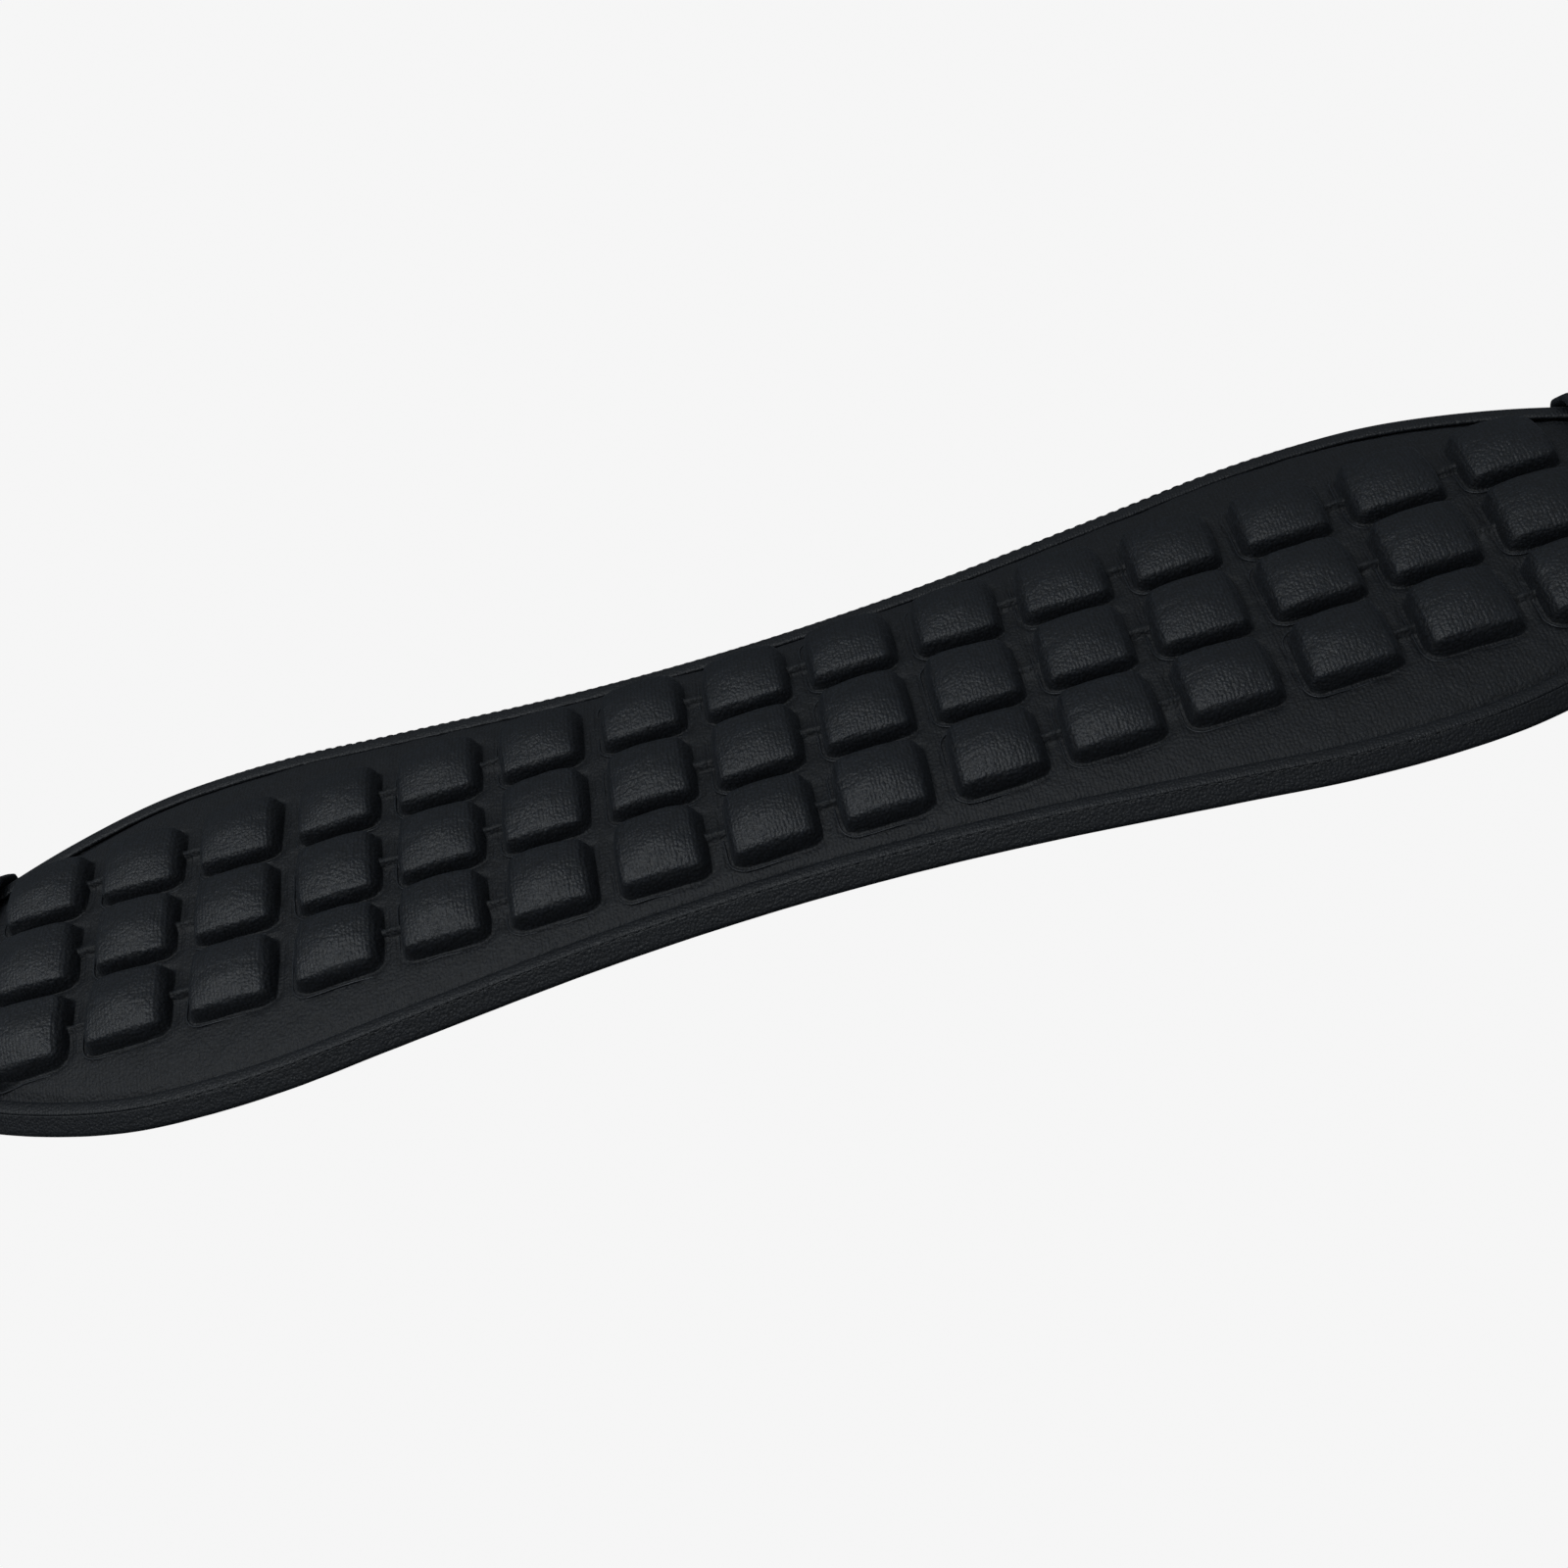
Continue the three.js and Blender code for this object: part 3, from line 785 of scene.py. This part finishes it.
class REST_OT_cell_welds(bpy.types.Operator):
    """Builds the narrow weld line round the foot of every cell"""

    bl_idname = "rest.cell_welds"
    bl_label = "Cell Weld Lines"

    def execute(self, context):
        s = sizes()
        points, faces = [], []
        sides = 5
        radius = 0.17 * MM
        for _, cx, cy in cell_places():
            ring = cell_outline(cx, cy, 0.95 * MM)
            x, y = ring[:, 0], ring[:, 1]
            _, inside = cell_field(x, y)
            left = -(x - cx) / s.cell_length * 2
            front = -(y - cy) / s.cell_depth * 2
            fade = smooth_noise(x, y, SEED + 31, 9 * MM, 30 * MM)
            shown = smoothstep(0.55 * left + 0.35 * front + 0.35 * fade)
            z = crown(x, y) + cloth_relief(x, y, inside) - 1.25 * radius + s.weld_height * 1.6 * shown
            path = np.column_stack([ring, z])
            ahead = np.roll(path, -1, axis=0) - np.roll(path, 1, axis=0)
            ahead /= np.linalg.norm(ahead, axis=1)[:, None]
            out = np.cross(ahead, [0, 0, 1])
            start = len(points)
            for k in range(len(path)):
                for angle in ring_angles(sides):
                    shift = out[k] * math.cos(angle) * 1.3 + np.array([0, 0, math.sin(angle)])
                    points.append(path[k] + shift * radius)
            faces += [face[::-1] for face in grid_faces(len(path), sides, True, True, start)]
        points = drifted(np.array(points))
        # The weld lines take a lighter finish, a painted highlight round each cell's foot.
        new_piece("cell_weld_lines", points, faces, "cover_fabric", "weld_line")
        return {"FINISHED"}


class REST_OT_edge(bpy.types.Operator):
    """Builds the corded edge, its seam stitches and the side band"""

    bl_idname = "rest.edge"
    bl_label = "Corded Edge and Side Band"

    def execute(self, context):
        s = sizes()
        low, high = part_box("edge_piping")
        middle = (low.z + high.z) / 2
        inset = (s.seam_inset + s.crease_inset) / 2
        half = (s.crease_inset - s.seam_inset) / 2
        rise = CREASE + s.bead_height - middle
        section = []
        for angle in ring_angles(18):
            out, up = rounded(math.cos(angle)), rounded(math.sin(angle))
            section.append((inset - half * out, middle + rise * up))
        cord = swept_ring("edge_piping_cord", section, "edge_fabric", 1.3 * MM, 0.03)
        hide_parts("edge_piping")

        self.band(s)
        self.stitches(s)
        return {"FINISHED"}

    def band(self, s):
        """The side band: a low hem, then a slope that ends in a turned edge under the seam."""
        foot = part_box("back_cover")[0].z
        seam = SEAM_HEIGHT
        slope = s.seam_inset - 0.05 * MM
        hem = 0.75 * MM
        climb = seam - foot - hem
        section = [(0.14 * MM, foot), (0, foot + 0.3 * MM), (0, foot + 0.62 * MM), (0.12 * MM, foot + MM)]
        for share in (0.12, 0.3, 0.5, 0.7, 0.86, 0.95):
            section.append((slope * share, foot + hem + climb * share + 0.22 * MM))
        section += [(slope, seam + 0.04 * MM), (slope + 0.15 * MM, seam - 0.5 * MM)]
        for share in (0.75, 0.5, 0.25, 0.08):
            section.append((slope * share + 0.7 * MM, foot + hem + climb * share - 0.4 * MM))
        section = [(inset, max(height, foot)) for inset, height in section]
        band = swept_ring("side_band_cloth", section, "edge_fabric", 1.6 * MM, 0.015)
        subdivide(band, 1)
        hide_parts("side_band")

    def stitches(self, s):
        """The row of stitches along the seam."""
        loop = outline_loop(s.seam_inset, SEAM_HEIGHT - 0.02 * MM, 0.8 * MM)
        normal = loop_normals(loop) * 0.5 + [0, 0, 1]
        closed = np.concatenate([loop, loop[:1]])
        ups = np.concatenate([normal, normal[:1]])
        points, faces = stitches_along(closed, ups, s.stitch_pitch, s.stitch_radius)
        seam_stitches = new_piece("edge_seam_stitches", points, faces, "thread")
        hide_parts("edge_seam_thread")


def cap_half(x, grow):
    """Half of a cap's width at x, for the face that lies grow outside its inner one."""
    share = (x - CAP_MOUTH) / (CAP_TIP - CAP_MOUTH)
    return float(half_width(CAP_MOUTH + share * (HALF_LENGTH - CAP_MOUTH))) + 0.3 * MM + grow


def cap_ring(x, grow, bottom):
    """A closed ring round a cap at x: over its crown, down its bevelled side and underneath."""
    side = cap_half(x, grow)
    shoulder = side - 3.6 * MM - 0.59 * grow
    rim, wall_top = 6.4 * MM + grow, 2.6 * MM + 0.41 * grow
    rise = 2.1 * MM * float(end_taper(x))
    foot = 0.3 * MM + 0.5 * grow
    over = [0, 0.1, 0.2, 0.3, 0.4, 0.5, 0.6, 0.7, 0.79, 0.87, 0.93, 0.975]
    half = [(shoulder * share, rim + rise * (1 - share**CROWN_POWER)) for share in over]
    for share in (0.0, 0.08, 0.22, 0.4, 0.6, 0.78, 0.92, 1.0):
        half.append((shoulder + (side - shoulder) * share, rim + (wall_top - rim) * share))
    half.append((side, (wall_top + bottom + foot) / 2))
    for turn in np.linspace(0, math.pi / 2, 4):
        half.append((side - foot + foot * math.cos(turn), bottom + foot - foot * math.sin(turn)))
    half += [(side * share, bottom) for share in (0.8, 0.6, 0.4, 0.2, 0)]
    ring = half + [(-y, z) for y, z in half[-2:0:-1]]
    return np.array([(x, y, z) for y, z in ring])


class REST_OT_end_caps(bpy.types.Operator):
    """Builds the two sewn end caps with their hems and rows of stitches"""

    bl_idname = "rest.end_caps"
    bl_label = "End Caps"

    def execute(self, context):
        for side, turn in (("right", 0), ("left", math.pi)):
            self.cap(side, turn, np.random.default_rng(SEED + 11 + len(side)))
        return {"FINISHED"}

    def cap(self, side, turn, draw):
        """One cap: its lining, lip, hemmed wall and folded nose, as rings joined one after another."""
        s = sizes()
        waves = [(draw.integers(3, 22), draw.uniform(0, 6.3), draw.uniform(0.3, 1)) for _ in range(9)]

        def wavy(share):
            """Slow waves round the cap."""
            return sum(size * math.sin(n * share * 6.283 + phase) for n, phase, size in waves) / 4

        outer = []
        stations = [0.0, 0.5, 1.2, 2.0, 2.8, 3.3, 3.7, 4.2, 5.0, 5.9, 6.6, 7.4]
        stations += [9, 11, 13.5, 16, 18.5, 20.5, 22.5, 23.7, 24.6]
        for station in stations:
            depth = CAP_SETBACK + station * MM
            ring = cap_ring(CAP_MOUTH + depth, s.cap_thickness, 0.0)
            middle = np.array([CAP_MOUTH + depth, 0, 4.0 * MM])
            out = ring - middle
            out[:, 0] = 0
            out /= np.maximum(np.linalg.norm(out, axis=1), 1e-9)[:, None]
            out[:, 2] = np.where(ring[:, 2] < 1.5 * MM, 0, out[:, 2])
            ease = math.exp(-((depth - CAP_HEM) / (0.55 * MM)) ** 2)
            edge = math.sqrt(max(0, 1 - min(1, station / 1.2)))
            step = smoothstep((station - 6.0) / 0.9)
            gather = math.exp(-((depth - CAP_HEM) / (2.2 * MM)) ** 2)
            for k in range(len(ring)):
                share = k / len(ring)
                pucker = math.sin(share * 2 * math.pi * PUCKERS) * gather
                proud = -0.35 * ease - 0.9 * edge * edge - 0.45 * step
                proud += 0.10 * pucker + 0.16 * wavy(share) * math.exp(-depth / (9 * MM))
                if ring[k, 2] > 1.0 * MM:
                    ring[k] += out[k] * proud * MM
                ring[k, 0] += 0.45 * MM * wavy(share + 0.07) * math.exp(-depth / (3 * MM))
            outer.append(ring)
        nose = []
        for share in (0.35, 0.62, 0.82, 0.95, 1.0):
            last = CAP_MOUTH + CAP_SETBACK + stations[-1] * MM
            x = last + (CAP_TIP - last) * share
            ring = cap_ring(x, s.cap_thickness, 0.0)
            keep = math.sqrt(max(0, 1 - share**2))
            middle = np.array([x, 0, 3.8 * MM])
            nose.append(middle + (ring - middle) * [1, 0.55 + 0.45 * keep, 0.42 + 0.58 * keep])
        inner = [cap_ring(CAP_MOUTH + depth * MM, 0.1 * MM, 1.0 * MM) for depth in (24, 18, 12, 6, 3, 1.8)]
        lip = (inner[-1] + outer[0]) / 2 - [0.55 * MM, 0, 0]
        lip[:, 2] = np.maximum(lip[:, 2], 0.5 * MM)
        rings = inner + [lip] + outer + nose
        count = len(rings[0])
        points = np.concatenate(rings)
        points[:, 2] = np.maximum(points[:, 2], 0)
        faces = [face[::-1] for face in grid_faces(len(rings), count, False, True)]
        centres = [rings[0].mean(axis=0), rings[-1].mean(axis=0)]
        points = np.concatenate([points, centres])
        last = (len(rings) - 1) * count
        for k in range(count):
            following = (k + 1) % count
            faces.append((len(points) - 2, k, following))
            faces.append((len(points) - 1, last + following, last + k))
        spin = np.array(Matrix.Rotation(turn, 3, "Z"))
        name = f"end_cap_{side}_shell"
        shell = new_piece(name, points @ spin.T, faces, "cap_fabric")
        tidy_normals(shell)
        subdivide(shell, 1)
        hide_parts(f"end_cap_{side}")
        self.stitch(side, spin)

    def stitch(self, side, spin):
        """The row of stitches along a cap's hem."""
        s = sizes()
        ring = cap_ring(CAP_MOUTH + CAP_HEM, s.cap_thickness - 0.22 * MM, 0.0)
        ring = ring[ring[:, 2] > 2.4 * MM]
        path = ring[np.argsort(np.arctan2(ring[:, 1], ring[:, 2] - 4 * MM))]
        ups = (path - [CAP_MOUTH + CAP_HEM, 0, 2 * MM]) * [0, 0.25, 1]
        points, faces = stitches_along(path @ spin.T, ups @ spin.T, s.stitch_pitch, s.stitch_radius * 1.15)
        row = new_piece(f"end_cap_{side}_stitches", points, faces, "thread")
        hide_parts(f"end_cap_seam_{side}")


def tidy_normals(piece):
    """Turns every face of a closed mesh outwards."""
    shape = bmesh.new()
    shape.from_mesh(piece.data)
    bmesh.ops.recalc_face_normals(shape, faces=shape.faces)
    shape.to_mesh(piece.data)
    shape.free()


class REST_OT_grip(bpy.types.Operator):
    """Builds the non-slip sheet with its rubber dots"""

    bl_idname = "rest.grip"
    bl_label = "Non-slip Underside"

    def execute(self, context):
        s = sizes()
        low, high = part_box("grip_base")
        floor_gap = 0.4 * MM
        across = [-1, -0.97, -0.8, -0.4, 0, 0.4, 0.8, 0.97, 1]
        x, share = np.meshgrid(np.linspace(low.x, high.x, 181), across, indexing="ij")
        y = share * half_width(x, 1.0 * MM)
        top = np.stack([x, y, np.full_like(x, high.z)], -1)
        under = np.stack([x, y, np.full_like(x, low.z + floor_gap)], -1)
        points, faces = closed_sheet(top, under)
        self.dots(points, faces, low, high, floor_gap)
        grip = new_piece("grip_base_dotted", points, faces, "grip_rubber", smooth=False)
        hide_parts("grip_base")
        return {"FINISHED"}

    def dots(self, points, faces, low, high, floor_gap):
        """Low round domes in staggered rows, which carry the rest."""
        s = sizes()
        row_pitch = s.grip_dot_pitch * 0.866
        rows = int((high.y - low.y) / row_pitch) + 2
        columns = int((high.x - low.x) / s.grip_dot_pitch) + 2
        rings = [(1.0, floor_gap + 0.05 * MM), (0.85, 0.375 * floor_gap), (0.6, 0.1 * floor_gap), (0.3, 0)]
        sides = 10
        for row in range(-rows // 2, rows // 2 + 1):
            for column in range(-columns // 2, columns // 2 + 1):
                x = (column + 0.5 * (row % 2)) * s.grip_dot_pitch
                y = row * row_pitch
                if abs(x) > high.x - 2.5 * MM or abs(y) > half_width(x, 3.4 * MM):
                    continue
                start = len(points)
                for share, height in rings:
                    for angle in ring_angles(sides):
                        reach = s.grip_dot_radius * share
                        spot = (x + reach * math.cos(angle), y + reach * math.sin(angle), low.z + height)
                        points.append(spot)
                points.append((x, y, low.z))
                for ring in range(len(rings) - 1):
                    for k in range(sides):
                        a, b = start + ring * sides + k, start + ring * sides + (k + 1) % sides
                        faces.append((a, a + sides, b + sides, b))
                base = start + (len(rings) - 1) * sides
                for k in range(sides):
                    faces.append((base + k, len(points) - 1, base + (k + 1) % sides))
                faces.append(tuple(start + k for k in range(sides)))


class REST_OT_air_modules(bpy.types.Operator):
    """Builds the upper film of every air module, blown up under the cover's cells"""

    bl_idname = "rest.air_modules"
    bl_label = "Air Modules"

    def execute(self, context):
        s = sizes()
        link_lines = [-s.link_half_width, 0, s.link_half_width]
        ys = cell_lines(row_middles(), s.row_pitch, s.cell_depth, link_lines)[1:-1]
        around = ((0, 0), (1, 1), (1, -1), (-1, 1), (-1, -1), (1.2, 0), (-1.2, 0), (0, 1.2), (0, -1.2))
        for module in range(s.columns // s.module_columns):
            first = module * s.module_columns
            columns = column_middles()[first : first + s.module_columns]
            xs = cell_lines(columns, s.column_pitch, s.cell_length, [0], END_ROUNDING)[1:-1]
            x, y = np.meshgrid(xs, ys, indexing="ij")
            height = np.min([cell_field(x + dx * MM, y + dy * MM)[0] for dx, dy in around], axis=0)
            z = crown(x, y) + 0.9 * height - 1.3 * MM
            points, faces = closed_sheet(np.stack([x, y, z], -1), np.stack([x, y, z - 0.3 * MM], -1))
            points = drifted(np.array(points))
            name = f"air_module_{module + 1}_upper_film"
            film = new_piece(f"{name}_blown", points, faces, "air_film")
            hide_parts(name)
        return {"FINISHED"}


class REST_OT_inner_layers(bpy.types.Operator):
    """Gives the foams, the lining and the air modules their finishes"""

    bl_idname = "rest.inner_layers"
    bl_label = "Inner Layers"

    def execute(self, context):
        for part in frame["record"]["subparts"]:
            node = frame["nodes"][part["node"]]
            if not node.hide_render:
                node.data.materials.clear()
                node.data.materials.append(finish(part["material_slot"]))
        return {"FINISHED"}


class REST_OT_stage(bpy.types.Operator):
    """Sets the pale floor, the soft studio light and the camera"""

    bl_idname = "rest.stage"
    bl_label = "Studio"

    def execute(self, context):
        scene = context.scene
        self.floor()
        self.world(scene)
        self.softbox("overhead_softbox", (-0.34, -0.22, 1.15), (0.6, 0.5), 4.4)
        self.softbox("left_fill", (-1.2, 0.0, 0.75), (0.5, 0.8), 1.1)
        self.camera(scene)
        scene.view_settings.view_transform = "Standard"
        scene.view_settings.look = "None"
        return {"FINISHED"}

    def floor(self):
        """Paper that lies flat and curves up all round, far from the rest. It throws no light back."""
        reach, bend, height, sides = 3.2, 0.8, 3.5, 72
        profile = [(0.0, 0.0), (reach, 0.0)]
        for step in range(1, 9):
            turn = math.pi / 2 * step / 8
            profile.append((reach + bend * math.sin(turn), bend * (1 - math.cos(turn))))
        profile.append((reach + bend, height))
        points = []
        for turn in ring_angles(sides):
            points += [(radius * math.cos(turn), radius * math.sin(turn), z) for radius, z in profile[1:]]
        faces = grid_faces(sides, len(profile) - 1, True)
        faces.append(tuple(side * (len(profile) - 1) for side in range(sides)))
        mesh = bpy.data.meshes.new("studio_paper")
        mesh.from_pydata(points, [], faces)
        mesh.shade_smooth()
        mesh.materials.append(floor_material("studio_paper", colours().floor))
        floor = bpy.data.objects.new("studio_floor", mesh)
        floor.visible_diffuse = floor.visible_glossy = False
        bpy.context.scene.collection.objects.link(floor)

    def world(self, scene):
        """Soft light from all round, brightest overhead."""
        world = bpy.data.worlds.new("studio")
        world.use_nodes = True
        tree = world.node_tree
        background = tree.nodes["Background"]
        background.inputs["Color"].default_value = (0.86, 0.94, 1.0, 1)
        point = add_node(tree, "ShaderNodeTexCoord", {}).outputs["Generated"]
        climb = add_node(tree, "ShaderNodeSeparateXYZ", {0: point}).outputs["Z"]
        tree.links.new(blend_values(tree, 0.03, 0.27, climb, -0.15, 0.75), background.inputs["Strength"])
        scene.world = world

    def softbox(self, name, place, size, power):
        """A large soft lamp at place that faces the middle of the rest."""
        light = bpy.data.lights.new(name, "AREA")
        light.shape = "RECTANGLE"
        light.size, light.size_y = size
        light.energy = power
        light.color = (0.93, 0.97, 1.0)
        lamp = bpy.data.objects.new(name, light)
        lamp.location = place
        lamp.rotation_mode = "QUATERNION"
        lamp.rotation_quaternion = Vector(place).to_track_quat("Z", "Y")
        bpy.context.scene.collection.objects.link(lamp)

    def camera(self, scene):
        """The camera, placed by its angles and distance from the target."""
        s = scene.rest_studio
        azimuth, elevation = s.azimuth, s.elevation
        back = Vector((
            math.sin(azimuth) * math.cos(elevation),
            -math.cos(azimuth) * math.cos(elevation),
            math.sin(elevation),
        ))
        lens = bpy.data.cameras.new("studio_camera")
        lens.lens = s.lens
        lens.clip_start, lens.clip_end = 0.01, 20
        camera = bpy.data.objects.new("studio_camera", lens)
        camera.location = Vector(s.target) + back * s.distance
        camera.rotation_mode = "QUATERNION"
        level = back.to_track_quat("Z", "Y")
        camera.rotation_quaternion = level @ Matrix.Rotation(s.roll, 3, "Z").to_quaternion()
        scene.collection.objects.link(camera)
        scene.camera = camera


class RestStudio(bpy.types.PropertyGroup):
    """Where the camera stands."""

    azimuth: FloatProperty(
        name="Azimuth", description="Round the rest, from straight in front", default=math.radians(8.63),
        subtype="ANGLE",
    )
    elevation: FloatProperty(
        name="Elevation", description="Above the desk", default=math.radians(47.476), subtype="ANGLE"
    )
    roll: FloatProperty(
        name="Roll", description="Turn of the camera about its own axis", default=math.radians(-23.059),
        subtype="ANGLE",
    )
    distance: length("Distance", "From the camera to its target", 382.9 * MM)
    target: FloatVectorProperty(
        name="Target", description="The point that the camera looks at",
        default=(2.47 * MM, -12.36 * MM, 9 * MM), subtype="TRANSLATION", unit="LENGTH",
    )
    lens: FloatProperty(name="Lens", description="Focal length in millimetres", default=42.195)


class REST_PT_sidebar(bpy.types.Panel):
    """The wrist rest's sizes, colours and pieces"""

    bl_idname = "REST_PT_sidebar"
    bl_label = "Wrist Rest"
    bl_space_type = "VIEW_3D"
    bl_region_type = "UI"
    bl_category = "Wrist Rest"

    def draw(self, context):
        for group in (context.scene.rest_sizes, context.scene.rest_colours, context.scene.rest_studio):
            box = self.layout.box()
            for name in group.bl_rna.properties.keys():
                if name not in ("rna_type", "name"):
                    box.prop(group, name)
        for operator in OPERATORS:
            self.layout.operator(operator.bl_idname)


OPERATORS = (
    REST_OT_stage,
    REST_OT_top_cover,
    REST_OT_cell_welds,
    REST_OT_edge,
    REST_OT_end_caps,
    REST_OT_grip,
    REST_OT_air_modules,
    REST_OT_inner_layers,
)
GROUPS = (RestSizes, RestColours, RestStudio)


def register():
    for kind in (*GROUPS, *OPERATORS, REST_PT_sidebar):
        bpy.utils.register_class(kind)
    bpy.types.Scene.rest_sizes = PointerProperty(type=RestSizes)
    bpy.types.Scene.rest_colours = PointerProperty(type=RestColours)
    bpy.types.Scene.rest_studio = PointerProperty(type=RestStudio)


def unregister():
    del bpy.types.Scene.rest_sizes, bpy.types.Scene.rest_colours, bpy.types.Scene.rest_studio
    for kind in reversed((*GROUPS, *OPERATORS, REST_PT_sidebar)):
        bpy.utils.unregister_class(kind)


def main():
    register()
    bpy.ops.rest.stage()
    bpy.ops.rest.top_cover()
    bpy.ops.rest.cell_welds()
    bpy.ops.rest.edge()
    bpy.ops.rest.end_caps()
    bpy.ops.rest.grip()
    bpy.ops.rest.air_modules()
    bpy.ops.rest.inner_layers()


if __name__ == "__main__":
    main()
